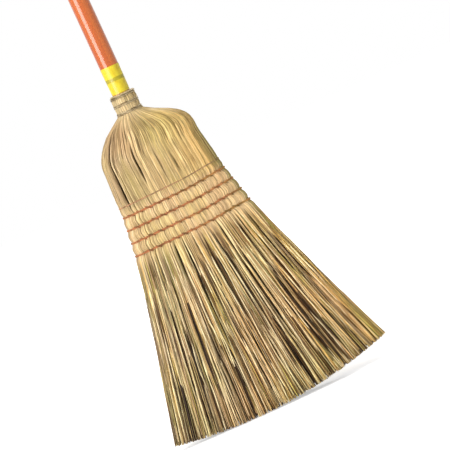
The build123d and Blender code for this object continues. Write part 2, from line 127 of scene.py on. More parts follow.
# Loose straw from under the last row: number, radius, how far it wanders, in half widths, and sinks,
# and its part of pale cream
SkirtLayer = namedtuple("SkirtLayer", "count radius wander sink cream")
SKIRT_LAYERS = [
    SkirtLayer(200, 0.75, 0.008, 2.4, 0.0),
    SkirtLayer(54, 1.15, 0.020, 0.4, 0.85),
    SkirtLayer(120, 0.36, 0.030, 0.6, 0.2),
]
SKIRT_SIZES = (0.75, 1.3)
SKIRT_STARTS = (150.0, 165.0)
SKIRT_RINGS = 24
SKIRT_RING_POWER = 1.1
SKIRT_TIP_SIZE = 0.7
SKIRT_BURIED = 4.5
SKIRT_RISE = (15.0, 80.0)

# Inner straw, between the covers
INNER_STRAWS = 420
INNER_RADIUS = 1.15
INNER_SIZES = (0.8, 1.3)
INNER_RINGS = 20
INNER_ACROSS = 0.96
INNER_WANDER = 0.02
INNER_TOP = 18.0
CORE_TOP = 75.0
INNER_TOP_SCATTER = 30.0
INNER_WIDENING = 0.6
INNER_THICKENING = 0.3
INNER_OVAL = 1.02
LEAST_ROOM = 0.02

# Ends of the straw on the trim arc
RAGGED_TRIM = 7.0
RAGGED_POWER = 3
LEAST_TRIM = 0.8
TRIM_SEARCH = 60.0
TRIM_STEPS = 24
MOST_LOOSE_PART = 2.0

# Waves along the straw, each with its size and length, and where in the loose straw they grow
SWAY = (0.5, 250.0)
KINK = (0.25, 66.0)
WEAVE = (0.9, 140.0)
SWAY_GROWTH = (0.0, 0.4)
SINK_GROWTH = (0.0, 0.3)

# Partings of the loose straw, some of them deep, and its tufts
LOOSE_PARTINGS = 170
PARTED_ACROSS = 0.97
PARTING_REACH = 0.028
PARTING_LENGTHS = (50.0, 190.0)
PARTING_HALF_GAPS = (0.3, 1.2)
PARTING_HALF_WIDTHS = (0.006, 0.013)
FLAT_FLOOR_POWER = 4
PARTING_OPENS = (0.0, 0.2)
PARTING_CLOSES = (0.6, 1.0)
LEAST_PARTING_RUN = 40.0
DEEP_PARTINGS = 0.36
LOW_DEEP_PARTINGS = 0.20
MIDDLE_DEEP_PARTINGS = 0.20
DEEP_DEPTHS = (5.5, 8.5)
SHALLOW_DEPTHS = (0.5, 3.0)
DEEPEST_ACROSS = 0.92
CALM_ACROSS = -0.4
CALM_DROP = 205.0
CALM_DEPTH = 0.2
CALM_GAP = 0.4
TUFTS = 64
TUFT_LIFT = 0.9
TUFT_LIFT_DEPTH = 8.0

# Creases where the straw of the front parts: share, where they start and end, how far the straw
# moves aside in shares, and how deep they are
Crease = namedtuple("Crease", "share top low part depth")
CREASES = [
    Crease(0.912, 34.0, 112.0, 0.002, 1.8),
    Crease(0.850, 4.0, 114.0, 0.009, 6.5),
    Crease(0.820, 18.0, 74.0, 0.003, 2.0),
    Crease(0.645, 26.0, 96.0, 0.006, 5.0),
    Crease(0.575, 14.0, 58.0, 0.003, 2.2),
    Crease(0.480, 48.0, 96.0, 0.002, 1.6),
    Crease(0.370, 60.0, 102.0, 0.003, 2.6),
    Crease(0.240, 20.0, 70.0, 0.002, 1.6),
    Crease(0.075, 40.0, 108.0, 0.003, 2.4),
]
CREASE_FADE = 24.0
CREASE_REACH = 0.04
CREASE_WIDTH = 0.0075

# Twine: radius, number of plies, length of one twist, and colour. A ply's place and radius are parts
# of the twine's radius.
Yarn = namedtuple("Yarn", "radius plies twist colour")
BAND = Yarn(1.25, 3, 8.0, (0.56, 0.235, 0.092))
STITCH = Yarn(1.05, 2, 5.0, (0.42, 0.195, 0.078))
LEAD_TURN = Yarn(0.85, 2, 6.0, (0.56, 0.33, 0.17))
PLY_PLACE = 0.52
PLY_RADIUS = 0.5
PLY_SIDES = 6
PATH_SPACING = 0.9
OUTLINE_POINTS = 801
STITCH_PITCH = 12.6
STITCH_SLANT = 6.5
STITCH_RISE = 1.7
STITCH_PROUD = 0.45
STITCH_BEND = 2.4
STITCH_BEND_STEPS = 7
STITCH_REFERENCE = (0.35, 0.2, 0.9)
STITCH_EDGE_MARGIN = 10.0
STITCH_DIMPLE = 1.1
DIMPLE_LENGTH = 4.0
DIMPLE_POWER = 4
BENDS_PER_RUN = 2.1

# Each tube's strip of the surface map: how slender it is, then places and sizes in parts of the strip
STRIP_ASPECT = 16
STRIP_MARGIN = 0.08
STRIP_END = 0.02
CAP_PLACES = (0.01, 0.99)
CAP_WIDTH = 0.3
CAP_HEIGHT = 0.006

# How far apart tubes may lie in the noise that streaks them
PATTERN_LENGTH = 500.0

# Colours of straw, linear, with what the chance of each kind gains towards each side and edge
CREAM = (0.95, 0.78, 0.47)
TAN = (0.58, 0.41, 0.19)
PINKISH = (0.50, 0.34, 0.19)
OLIVE = (0.35, 0.29, 0.09)
GOLDEN = (0.64, 0.44, 0.15)
BROWN = (0.21, 0.120, 0.045)
StrawKind = namedtuple("StrawKind", "colour chance right left right_edge left_edge", defaults=[0.0] * 4)
STRAW_KINDS = [
    StrawKind(CREAM, 0.24),
    StrawKind(TAN, 0.36),
    StrawKind(PINKISH, 0.08, left=0.10),
    StrawKind(OLIVE, 0.06, right_edge=0.20, left_edge=0.08),
    StrawKind(GOLDEN, 0.05, right=0.18),
    StrawKind(BROWN, 0.18),
]
EDGE_ACROSS = (0.75, 0.98)
TUFT_TONE = 0.20
OWN_TONE = 0.34
# Straw at the right is warmer and brighter, partly a golden tint and partly painted light; straw at the
# left is darker with painted shade
RIGHT_WARMTH_AND_PAINTED_LIGHT = (0.20, 0.15, 0.06)
LEFT_PAINTED_SHADE = (0.26, 0.27, 0.22)
BRIGHTEST = 0.93
PALE_CREAM = (0.98, 0.84, 0.55)
NECK_CREAM = (0.66, 0.53, 0.31)
NECK_CREAM_FADE = (-4.0, 12.0)
PEACH = (0.91, 0.67, 0.40)
PEACH_PART = 0.9
PEACH_FADE_ACROSS = (0.8, 1.0)
SHOULDER_ACROSS = [-1.0, -0.4, 0.2, 0.72, 1.0]
SHOULDER_COLOURS = [
    (0.49, 0.35, 0.205), (0.62, 0.45, 0.25), (0.64, 0.48, 0.22), (0.84, 0.61, 0.24), (0.60, 0.45, 0.17)
]
EDGE_OLIVE = (0.36, 0.315, 0.105)
EDGE_OLIVE_ACROSS = (0.66, 0.84)
EDGE_OLIVE_DROPS = (30.0, 62.0)
SEWN_OWN_PART = 0.30
LOOSENING = 24.0
TIP_PALENESS = 0.26

# Painted shade: how much darker straw is painted for each millimetre that it lies back in a crease or
# parting and for each layer below the top one, and the colour that paints shade on the straw between the
# covers
CREASE_PAINTED_SHADE = 0.13
PARTING_PAINTED_SHADE = 0.108
LAYER_PAINTED_SHADE = 0.14
LOOSE_LAYER_PAINTED_SHADE = 0.26
INNER_PAINTED_SHADE = (0.12, 0.08, 0.04)

# Colours of the materials along their noise, linear
NOISE_SPAN = (0.3, 0.7)
STREAKS = [(0.30, (0.52, 0.45, 0.36)), (0.70, (1.25, 1.23, 1.18))]
PATCHES = [(0.36, (1.0, 0.89, 0.79)), (0.50, (1.0, 1.0, 0.97)), (0.66, (0.94, 0.98, 0.74))]
RUBBED = [(0.28, (1.06, 0.94, 1.0)), (0.55, (1.0, 1.0, 1.0)), (0.82, (0.96, 1.18, 0.85))]
RUBBED_PER_METRE = 3.6
FIBRES = [(0.3, (0.60, 0.60, 0.60)), (0.7, (1.25, 1.25, 1.25))]
SOIL = [(0.36, (0.52, 0.58, 0.58)), (0.56, (1.0, 1.0, 1.0))]
LACQUER = [(0.30, (0.44, 0.072, 0.012)), (0.50, (0.58, 0.126, 0.018)), (0.72, (0.66, 0.175, 0.026))]
FIGURE = [(0.35, (0.76, 0.66, 0.62)), (0.62, (1.06, 1.06, 1.06))]
PAPER = [(0.30, (0.68, 0.48, 0.015)), (0.55, (0.76, 0.60, 0.022)), (0.75, (0.80, 0.68, 0.040))]
BARE = (0.0, 0.0, 0.0)
INKED = (1.0, 1.0, 1.0)
STRIPE = [(0.0, BARE), (0.44, BARE), (0.47, INKED), (0.57, INKED), (0.60, BARE)]
STRIPE_INK = (0.42, 0.34, 0.012, 1.0)
STEEL = [(0.30, (0.22, 0.165, 0.095)), (0.55, (0.40, 0.32, 0.19)), (0.75, (0.54, 0.45, 0.29))]
TARNISH = [(0.36, (0.34, 0.29, 0.22)), (0.52, (1.0, 1.0, 1.0))]
FLOOR_TONES = [(0.3, (0.90, 0.90, 0.90)), (0.7, (0.93, 0.93, 0.93))]
WHITE = (1.0, 1.0, 1.0, 1.0)

# Photograph's view: how far its middle is to the right of the handle's axis and below the foot of the
# neck, then its width and distance in metres
VIEW_RIGHT = 50.92
VIEW_BELOW = 182.38
VIEW_WIDTH = 0.586
VIEW_DISTANCE = 3.2
VIEW_ELEVATION = math.radians(4.5)
VIEW_ROLL = math.radians(24.6)
SENSOR_WIDTH = 36.0

# Studio, in metres and watts. A lamp that isn't mirrored shows no reflection in glossy surfaces.
Lamp = namedtuple("Lamp", "name place aim size power mirrored")
LAMPS = [
    Lamp("key", (-1.95, -2.00, 0.95), (0.0, 0.0, 0.35), (2.0, 1.7), 80.0, True),
    Lamp("fill", (2.4, -1.8, 1.2), (0.0, 0.0, 0.3), (1.6, 1.6), 10.0, False),
    Lamp("top", (0.0, -0.9, 3.0), (0.0, 0.0, 0.3), (1.8, 1.8), 36.0, True),
    Lamp("back", (0.6, 2.6, 2.2), (0.0, 0.0, 0.5), (1.6, 1.6), 55.0, True),
]
WORLD_LIGHT = 0.15
FLOOR_RADIUS = 7.0
FLOOR_SIDES = 96
FLOOR_GAP = 0.0005
FLOOR_WHITENESS = 0.45
FLOOR_WHITENING = (0.25, 0.75)


def smooth(low, high, value):
    """Smooth rise from 0 at low to 1 at high."""
    share = np.clip((value - low) / (high - low), 0.0, 1.0)
    return share * share * (3 - 2 * share)


# Shape of the head

def tilt(drop):
    """Angle of the across direction, which turns from the neck's to the head's."""
    drops = [0.0, SEAM_TILT_DROP, SEWN_END_DROP, CORNER_DROP]
    return np.interp(drop, drops, [0.0, SEAM_TILT, SEAM_TILT, HEAD_LEAN])


def neck_radius(drop):
    """Radius of the neck, drawn in under the wire."""
    heights = sorted([NECK_HEIGHT, *WIRE_HEIGHTS, *BULGE_HEIGHTS, 0.0])
    full = [*BULGE_HEIGHTS, 0.0]
    radii = [NECK_RADIUS if height in full else GROOVE_RADIUS for height in heights]
    return np.interp(-drop, heights, radii)


def twine_pinch(drop):
    """How far the twine draws the straw in."""
    pinch = np.zeros_like(drop)
    for turn, pull in [(LEAD_TURN_DROP, LEAD_TURN_PINCH), *[(row, ROW_PINCH) for row in ROW_DROPS]]:
        away = np.minimum(1.0, np.abs(drop - turn) / (ROW_PITCH / 2))
        pinch = np.maximum(pinch, pull * (1 + np.cos(np.pi * away)) / 2)
    return pinch


def row_rise(across):
    """How much higher the rows lie towards the right edge."""
    return ROW_RISE * smooth(*ROW_RISE_REACH, across)


def loose_part(drop):
    """How far down the loose straw a drop is: 0 at the end of the sewn part, 1 at the corners."""
    return np.clip((drop - SEWN_END_DROP) / (CORNER_DROP - SEWN_END_DROP), 0.0, MOST_LOOSE_PART)


def outline_sizes():
    """Width and thickness of the head where its outline turns, and past its end."""
    first = np.array([FIRST_ROW_WIDTH, FIRST_ROW_THICKNESS])
    last = np.array([LAST_ROW_WIDTH, LAST_ROW_THICKNESS])
    sweep = np.array([SWEEP_WIDTH, SWEEP_THICKNESS])
    sewn = last + (last - first) / (ROW_DROPS[-1] - ROW_DROPS[0]) * (SEWN_END_DROP - ROW_DROPS[-1])
    past = sweep + (sweep - sewn) * (CORNER_DROP / (CORNER_DROP - SEWN_END_DROP))
    return np.array([(SHOULDER_WIDTH, SHOULDER_THICKNESS), first, last, sewn, sweep, past])


def half_sizes(drop):
    """Half width and half thickness of the head at a drop."""
    drops = [SHOULDER_DROP, ROW_DROPS[0], ROW_DROPS[-1], SEWN_END_DROP, CORNER_DROP, 2 * CORNER_DROP]
    width, thickness = [np.interp(drop, drops, sizes) / 2 for sizes in outline_sizes().T]
    rest = 1 - np.clip(drop / SHOULDER_DROP, 0.0, 1.0)
    start = neck_radius(np.minimum(drop, 0.0))
    width = start + (width - start) * (1 - rest**SHOULDER_POWER)
    thickness = start + (thickness - start) * (1 - rest**THICKNESS_POWER)
    share = np.minimum(loose_part(drop), 1.0)
    return width - SWEEP_BOW * 4 * share * (1 - share), thickness


def on_oval(width, thickness, share):
    """Across, depth and outward direction on half an oval, a share of the way from right to left."""
    spread = (width - thickness) / (math.cos(OVAL_SPLIT) + math.sin(OVAL_SPLIT) - 1)
    end_centre = spread * math.cos(OVAL_SPLIT)
    side_centre = spread * math.sin(OVAL_SPLIT)
    end_radius = width - end_centre
    side_radius = thickness + side_centre
    end_run = end_radius * OVAL_SPLIT
    run = np.minimum(share, 1 - share) * (2 * end_run + side_radius * (math.pi - 2 * OVAL_SPLIT))
    on_end = run < end_run
    angle = np.where(on_end, run / end_radius, OVAL_SPLIT + (run - end_run) / side_radius)
    radius = np.where(on_end, end_radius, side_radius)
    way = np.where(share > 0.5, -1, 1)
    across = way * (np.where(on_end, end_centre, 0.0) + radius * np.cos(angle))
    depth = radius * np.sin(angle) - np.where(on_end, 0.0, side_centre)
    return across, depth, way * np.cos(angle), np.sin(angle)


def heading(drop, across, depth):
    """Direction in the CAD frame, from its parts across and in depth."""
    angle = tilt(drop)
    return np.stack([across * np.cos(angle), depth, across * np.sin(angle)], axis=-1)


def place(drop, across, depth):
    """Point of the head in the CAD frame, from its drop, place across and depth, back positive."""
    below = np.maximum(drop, 0.0)
    above = np.minimum(drop, 0.0)
    x = HANDLE_X + below * math.sin(HEAD_LEAN)
    z = NECK_FOOT_Z - below * math.cos(HEAD_LEAN) - above
    skew = SHOULDER_SKEW * np.sin(np.pi * np.clip(drop / SHOULDER_DROP, 0.0, 1.0)) ** 2
    return np.stack([x, 0 * depth, z], axis=-1) + heading(drop, across + skew, depth)


def trim_distance(point):
    """Distance from the centre of the trim arc."""
    centre_x = HANDLE_X + TRIM_CENTRE_DROP * math.sin(HEAD_LEAN)
    centre_z = NECK_FOOT_Z - TRIM_CENTRE_DROP * math.cos(HEAD_LEAN)
    return np.hypot(point[..., 0] - centre_x, point[..., 2] - centre_z)


# Meshes of many thin tubes

def unit(vectors):
    """Vectors of length 1."""
    return vectors / np.maximum(np.linalg.norm(vectors, axis=-1, keepdims=True), LEAST_LENGTH)


def lengths_along(paths):
    """Length of paths up to each of their points."""
    steps = np.linalg.norm(np.diff(paths, axis=-2), axis=-1)
    return np.insert(np.cumsum(steps, axis=-1), 0, 0.0, axis=-1)


def directions(paths, outward):
    """Directions beside paths and up from them, from about where outward is."""
    along = unit(np.gradient(paths, axis=-2))
    beside = unit(np.cross(along, outward))
    return beside, np.cross(beside, along)


def tube_vertices(centres, radii, outward, sides):
    """Rings of vertices round each centreline."""
    beside, up = directions(centres, outward)
    angles = 2 * np.pi * np.arange(sides) / sides
    ring = beside[:, :, None] * np.cos(angles)[:, None] + up[:, :, None] * np.sin(angles)[:, None]
    return centres[:, :, None] + ring * radii[:, :, None, None]


def tube_faces(count, rings, sides, first):
    """Quads along each tube, as vertex numbers."""
    tube = np.arange(count)[:, None, None]
    ring = np.arange(rings - 1)[:, None]
    side = np.arange(sides)
    here = first + (tube * rings + ring) * sides
    after = (side + 1) % sides
    quads = np.stack([here + side, here + after, here + sides + after, here + sides + side], axis=-1)
    return quads.reshape(-1, 4)


def cap_faces(count, rings, sides, first):
    """The faces that close the ends of each tube."""
    starts = first + np.arange(count)[:, None] * rings * sides
    ends = starts + (rings - 1) * sides
    side = np.arange(sides)
    return np.concatenate([starts + side[::-1], ends + side])


def linked(name, data):
    """A new object in the scene."""
    made = bpy.data.objects.new(name, data)
    bpy.context.scene.collection.objects.link(made)
    return made


def store(mesh, name, kind, key, values):
    """Stores a value for each vertex of a mesh."""
    mesh.attributes.new(name, kind, "POINT").data.foreach_set(key, values.ravel())


class TubeBundle:
    """Tubes gathered into one mesh, with a colour for each ring and a map for the surface."""

    def __init__(self):
        self.vertices = []
        self.colours = []
        self.places = []
        self.faces = []
        self.tubes = []
        self.count = 0

    def add(self, centres, radii, outward, sides, colours):
        """Adds tubes, given as arrays of tubes by rings."""
        count, rings = radii.shape
        vertices = tube_vertices(centres, radii, outward, sides)
        places = np.zeros((count, rings, sides, 3))
        places[..., 0] = random.uniform(0, PATTERN_LENGTH, count)[:, None, None]
        places[..., 1] = lengths_along(centres)[:, :, None]
        places[..., 2] = np.arange(sides)
        self.vertices.append(vertices.reshape(-1, 3))
        self.places.append(places.reshape(-1, 3))
        self.colours.append(np.repeat(colours[:, :, None], sides, axis=2).reshape(-1, 3))
        self.faces += tube_faces(count, rings, sides, self.count).tolist()
        self.faces += cap_faces(count, rings, sides, self.count).tolist()
        self.tubes.append((count, rings, sides))
        self.count += count * rings * sides

    def surface_map(self):
        """Each tube's own strip of the surface map, for the corners of the quads and then the caps."""
        total = sum(count for count, rings, sides in self.tubes)
        rows = max(1, round(math.sqrt(total / STRIP_ASPECT)))
        columns = math.ceil(total / rows)
        corners = []
        first = 0
        for count, rings, sides in self.tubes:
            tube = first + np.arange(count)
            strip = np.stack([tube % columns, tube // columns], axis=-1)[:, None]
            ring = np.arange(rings - 1)[:, None, None] + np.array([0, 0, 1, 1])
            side = np.arange(sides)[:, None] + np.array([0, 1, 1, 0])
            u = STRIP_MARGIN + (1 - 2 * STRIP_MARGIN) * side / sides + 0 * ring
            v = STRIP_END + (1 - 2 * STRIP_END) * ring / (rings - 1) + 0 * side
            around = 2 * np.pi * np.arange(sides) / sides
            cap_u = 0.5 + CAP_WIDTH * np.cos(around)
            cap_v = CAP_HEIGHT * np.sin(around)
            for places in [(u, v), *[(cap_u, end + cap_v) for end in CAP_PLACES]]:
                corners.append((strip + np.stack(places, axis=-1).reshape(-1, 2)).reshape(-1, 2))
            first += count
        return np.concatenate(corners) / (columns, rows)

    def piece(self, name, material):
        """The bundle as a Blender object."""
        mesh = bpy.data.meshes.new(name)
        vertices = np.concatenate(self.vertices) * MM
        mesh.from_pydata(vertices.tolist(), [], self.faces, shade_flat=False)
        rgba = np.insert(np.concatenate(self.colours), 3, 1.0, axis=1)
        store(mesh, "straw_colour", "FLOAT_COLOR", "color", rgba)
        store(mesh, "straw_place", "FLOAT_VECTOR", "vector", np.concatenate(self.places))
        mesh.uv_layers.new(name="OFBake").data.foreach_set("uv", self.surface_map().ravel())
        mesh.materials.append(material)
        mesh.update()
        return linked(name, mesh)


# Straw

def ring_drops(start, tip, upper_rings, lower_rings):
    """Drops of the rings of each straw: close at the rows, wider in the loose straw."""
    rows_start = LEAD_TURN_DROP - ROW_PITCH / 2
    row_step = ROW_PITCH / RINGS_PER_ROW
    first = np.linspace(start, rows_start, upper_rings, axis=1)
    middle = np.tile(np.arange(rows_start + row_step, SEWN_END_DROP, row_step), (len(start), 1))
    last = np.linspace(SEWN_END_DROP, tip, lower_rings, axis=1)
    return np.concatenate([first, middle, last], axis=1)


class Partings:
    """Where the loose straw of one face parts, each over some of its length, and its tufts' tones."""

    def __init__(self):
        half_width = LAST_ROW_WIDTH / 2
        stitches = int((half_width - STITCH_EDGE_MARGIN) / STITCH_PITCH)
        at_stitches = STITCH_PITCH * (np.arange(-stitches - 1, stitches + 1) + 0.5) / half_width
        count = len(at_stitches) + LOOSE_PARTINGS
        spread = (np.arange(LOOSE_PARTINGS) + random.uniform(0, 1, LOOSE_PARTINGS)) / LOOSE_PARTINGS
        self.across = np.concatenate([at_stitches, PARTED_ACROSS * (2 * spread - 1)])
        tops = random.uniform(SEWN_END_DROP, CORNER_DROP - LEAST_PARTING_RUN, LOOSE_PARTINGS)
        self.top = np.concatenate([np.full(len(at_stitches), ROW_DROPS[-1]), tops])
        self.length = random.uniform(*PARTING_LENGTHS, count)
        self.half_gap = random.uniform(*PARTING_HALF_GAPS, count)
        self.half_width = random.uniform(*PARTING_HALF_WIDTHS, count)
        chance = DEEP_PARTINGS + LOW_DEEP_PARTINGS * loose_part(self.top)
        chance = chance + MIDDLE_DEEP_PARTINGS * (1 - np.abs(self.across))
        deep = random.uniform(0, 1, count) < chance
        depths = np.where(deep, random.uniform(*DEEP_DEPTHS, count), random.uniform(*SHALLOW_DEPTHS, count))
        self.depth = depths * (np.abs(self.across) < DEEPEST_ACROSS)
        calm = (self.top < CALM_DROP) & (self.across < CALM_ACROSS)
        self.depth = np.where(calm, CALM_DEPTH * self.depth, self.depth)
        self.half_gap = np.where(calm, CALM_GAP * self.half_gap, self.half_gap)
        self.tuft_places = np.linspace(-1.0, 1.0, TUFTS)
        self.tones = random.normal(0, 1, TUFTS)
        self.lifts = random.normal(0, TUFT_LIFT, TUFTS)

    def opened(self, drop):
        """How far open each parting is at the straws' drops."""
        along = (drop[..., None] - self.top) / self.length
        return smooth(*PARTING_OPENS, along) * (1 - smooth(*PARTING_CLOSES, along))

    def push(self, across, drop):
        """How far straws at places across the head move aside at their drops."""
        away = across[:, None, None] - self.across
        near = np.sign(away) * np.exp(-np.abs(away) / PARTING_REACH)
        return (near * self.opened(drop) * self.half_gap).sum(axis=-1)

    def sunk(self, across, drop):
        """How far straws in the middle of a parting lie back."""
        away = (across[:, None, None] - self.across) / self.half_width
        return (np.exp(-(away**FLAT_FLOOR_POWER)) * self.opened(drop) * self.depth).max(axis=-1)


def crease_window(crease, drop):
    """How strong a crease is at a drop."""
    opening = smooth(crease.top, crease.top + CREASE_FADE, drop)
    return opening * (1 - smooth(crease.low - CREASE_FADE, crease.low, drop))


def waves(count, size, length):
    """Waves along each straw, as a function of the drop."""
    phase = random.uniform(0, 2 * np.pi, count)[:, None]
    height = random.normal(0, size, count)[:, None]
    return lambda drop: height * np.sin(phase + 2 * np.pi * drop / length)


class StrawPaths:
    """Paths of straws on one face of the head, from their shares and how deep they lie."""

    def __init__(self, share, side, inset, partings, wander, sink):
        count = len(share)
        self.share = share
        self.side = side
        self.creases = CREASES if side == FRONT else []
        self.inset = inset
        self.partings = partings
        sewn_width, sewn_thickness = half_sizes(np.full(count, SEWN_END_DROP))
        self.across = on_oval(sewn_width, sewn_thickness, share)[0] / sewn_width
        self.wander = random.normal(0, wander, count)
        self.sink = random.uniform(0, sink, count)
        self.lift = np.interp(self.across, partings.tuft_places, partings.lifts)
        self.tone = np.interp(self.across, partings.tuft_places, partings.tones)
        self.sway = waves(count, *SWAY)
        self.kink = waves(count, *KINK)
        self.weave = waves(count, *WEAVE)

    def parted(self, drop):
        """Shares of the straws, moved aside at the creases of the front."""
        share = np.broadcast_to(self.share[:, None], drop.shape)
        for crease in self.creases:
            away = share - crease.share
            push = np.where(away > 0, 1, -1) * np.exp(-np.abs(away) / CREASE_REACH)
            share = share + crease.part * crease_window(crease, drop) * push
        return share

    def creased(self, drop):
        """How far the straws lie back in the creases of the front."""
        back = np.zeros(drop.shape)
        for crease in self.creases:
            away = (self.share - crease.share)[:, None] / CREASE_WIDTH
            near = np.exp(-(away**FLAT_FLOOR_POWER))
            back = np.maximum(back, crease.depth * near * crease_window(crease, drop))
        return back

    def dimples(self, drop, across):
        """How far the stitches draw the straw in at their holes."""
        nearest = np.min([np.abs(drop + row_rise(across) - row) for row in ROW_DROPS], axis=0)
        between = np.sin(np.pi * across / STITCH_PITCH) ** DIMPLE_POWER
        return STITCH_DIMPLE * between * np.exp(-((nearest / DIMPLE_LENGTH) ** 2))

    def points(self, drop, deeper=0.0):
        """Points and outward directions of the straws at the given drops."""
        progress = loose_part(drop)
        swaying = smooth(*SWAY_GROWTH, progress)
        width, thickness = half_sizes(drop)
        pinch = twine_pinch(drop + row_rise(self.across[:, None] * width))
        width = width - pinch
        across, depth, out_across, out_depth = on_oval(width, thickness - pinch, self.parted(drop))
        inset = self.inset[:, None] + deeper + self.dimples(drop, across) + self.creased(drop)
        inset = inset + (self.sink[:, None] + self.weave(drop)) * smooth(*SINK_GROWTH, progress)
        inset = inset + self.partings.sunk(self.across, drop)
        across = across - out_across * inset
        depth = depth - out_depth * inset
        across = across + self.partings.push(self.across, drop) + self.wander[:, None] * progress * width
        across = across + (self.sway(drop) + self.kink(drop)) * swaying
        across = np.clip(across, -width, width)
        across = across - LEFT_FLARE * smooth(*LEFT_FLARE_SPAN, progress) * np.clip(-across / width, 0, 1)
        depth = depth + self.lift[:, None] * swaying * np.clip(depth / TUFT_LIFT_DEPTH, 0, 1)
        point = place(drop, across, self.side * depth)
        return point, heading(drop, out_across, self.side * out_depth)

    def tips(self, ragged):
        """Drop of each straw's tip, where it meets the trim arc less its own raggedness."""
        return trimmed(lambda drop: self.points(drop[:, None])[0][:, 0], ragged)


def trimmed(point, ragged):
    """Drops at which straws reach the trim arc, less their raggedness, by halving."""
    low = np.full(len(ragged), SEWN_END_DROP)
    high = np.full(len(ragged), CORNER_DROP + TRIM_SEARCH)
    for step in range(TRIM_STEPS):
        middle = (low + high) / 2
        short = trim_distance(point(middle)) < TRIM_RADIUS - ragged
        low = np.where(short, middle, low)
        high = np.where(short, high, middle)
    return low


def raggedness(count):
    """How far short of the trim arc each straw ends."""
    return LEAST_TRIM + RAGGED_TRIM * random.uniform(0, 1, count) ** RAGGED_POWER


def kind_chances(across):
    """How likely each kind of straw is for straws at places across the head."""
    sides = [np.clip(across, 0, 1), np.clip(-across, 0, 1)]
    edges = [smooth(*EDGE_ACROSS, across), smooth(*EDGE_ACROSS, -across)]
    gains = np.array([kind[1:] for kind in STRAW_KINDS])
    return np.stack([np.ones_like(across), *sides, *edges], axis=1) @ gains.T


def own_colours(across, tone):
    """A colour of its own for each straw, with a golden tint and painted light at the right and painted
    shade at the left.
    """
    count = len(across)
    chances = kind_chances(across)
    limits = np.cumsum(chances, axis=1) / chances.sum(axis=1, keepdims=True)
    picked = (random.uniform(0, 1, (count, 1)) > limits[:, :-1]).sum(axis=1)
    colours = np.array([kind.colour for kind in STRAW_KINDS])[picked]
    level = np.exp(TUFT_TONE * tone + random.normal(0, OWN_TONE, count))
    warmth_and_light = np.clip(across, 0, 1)[:, None] * np.array(RIGHT_WARMTH_AND_PAINTED_LIGHT)
    painted_left_shade = np.clip(-across, 0, 1)[:, None] * np.array(LEFT_PAINTED_SHADE)
    return colours * level[:, None] * (1 + warmth_and_light - painted_left_shade)


def blend(first, second, part):
    """Two colours with a part of the second."""
    return first * (1 - part) + np.array(second) * part


def shared_colours(across, drop):
    """The colour that straws have in common at a place in the sewn part of the head."""
    columns = [np.interp(across, SHOULDER_ACROSS, column) for column in zip(*SHOULDER_COLOURS)]
    shoulder = np.stack(columns, axis=-1)[:, None]
    edge = (smooth(*EDGE_OLIVE_ACROSS, across)[:, None] * smooth(*EDGE_OLIVE_DROPS, drop))[..., None]
    rows = (PEACH_PART * smooth(LEAD_TURN_DROP, ROW_DROPS[0], drop))[..., None]
    rows = rows * (1 - smooth(*PEACH_FADE_ACROSS, np.abs(across)))[:, None, None]
    neck = (1 - smooth(*NECK_CREAM_FADE, drop))[..., None]
    return blend(blend(blend(shoulder, EDGE_OLIVE, edge), PEACH, rows), NECK_CREAM, neck)


def loosened(drop):
    """0 in the sewn part of the head, and 1 from a little below its last row."""
    return smooth(ROW_DROPS[-1], ROW_DROPS[-1] + LOOSENING, drop)


def straw_colours(paths, drop):
    """Colours along each straw: much alike down to the last row, its own in the loose straw."""
    across = 1 - 2 * paths.share
    own = own_colours(across, paths.tone)[:, None]
    part = (SEWN_OWN_PART + (1 - SEWN_OWN_PART) * loosened(drop))[..., None]
    # Painted shade: straw that lies back in a crease or parting is painted darker for each millimetre
    tone = (1 - CREASE_PAINTED_SHADE * paths.creased(drop)) * (1 + TIP_PALENESS * loose_part(drop))
    tone = tone * (1 - PARTING_PAINTED_SHADE * paths.partings.sunk(paths.across, drop))
    colours = blend(shared_colours(across, drop), own, part) * tone[..., None]
    brightest = colours.max(axis=-1, keepdims=True)
    return colours / np.maximum(1.0, brightest / BRIGHTEST)


def straw_radii(drop, tip, radius, tip_radius):
    """Radius of each straw along its length, thinner at the neck and at the tip."""
    thin_neck = NECK_THINNESS + (1 - NECK_THINNESS) * smooth(0.0, NECK_THIN_DROP, drop)
    share = np.clip((drop - SEWN_END_DROP) / (tip[:, None] - SEWN_END_DROP), 0.0, 1.0)
    return (radius[:, None] + (tip_radius - radius[:, None]) * share) * thin_neck


def cover_layer(bundle, side, layer, partings):
    """One layer of the straw that runs from the neck to the sweeping edge."""
    count = COVER_STRAWS
    share = (np.arange(count) + random.uniform(*COVER_PLACES, count)) / count
    radius = STRAW_RADIUS * random.uniform(*COVER_SIZES, count)
    inset = radius + LAYER_STEP * layer + random.uniform(0, LAYER_SCATTER, count)
    paths = StrawPaths(share, side, inset, partings, COVER_WANDER + LAYER_WANDER * layer, COVER_SINK)
    from_neck = np.arange(count) % 2 == 0
    start = np.where(from_neck, NECK_EDGE - NECK_HEIGHT, random.uniform(*LATE_STARTS, count))
    tip = paths.tips(raggedness(count))
    drop = ring_drops(start, tip, COVER_TOP_RINGS[layer], COVER_LOOSE_RINGS)
    buried = LATE_BURIED * ~from_neck[:, None] * (1 - smooth(0.0, LATE_RISE, drop - start[:, None]))
    centres, outward = paths.points(drop, buried)
    # Painted shade: each deeper layer of cover straw is painted darker, more so in the loose straw
    shade = 1 - layer * (LAYER_PAINTED_SHADE + LOOSE_LAYER_PAINTED_SHADE * loosened(drop))
    colours = straw_colours(paths, drop) * shade[..., None]
    radii = straw_radii(drop, tip, radius, TIP_RADIUS)
    bundle.add(centres, radii, outward, COVER_SIDES[layer], colours)


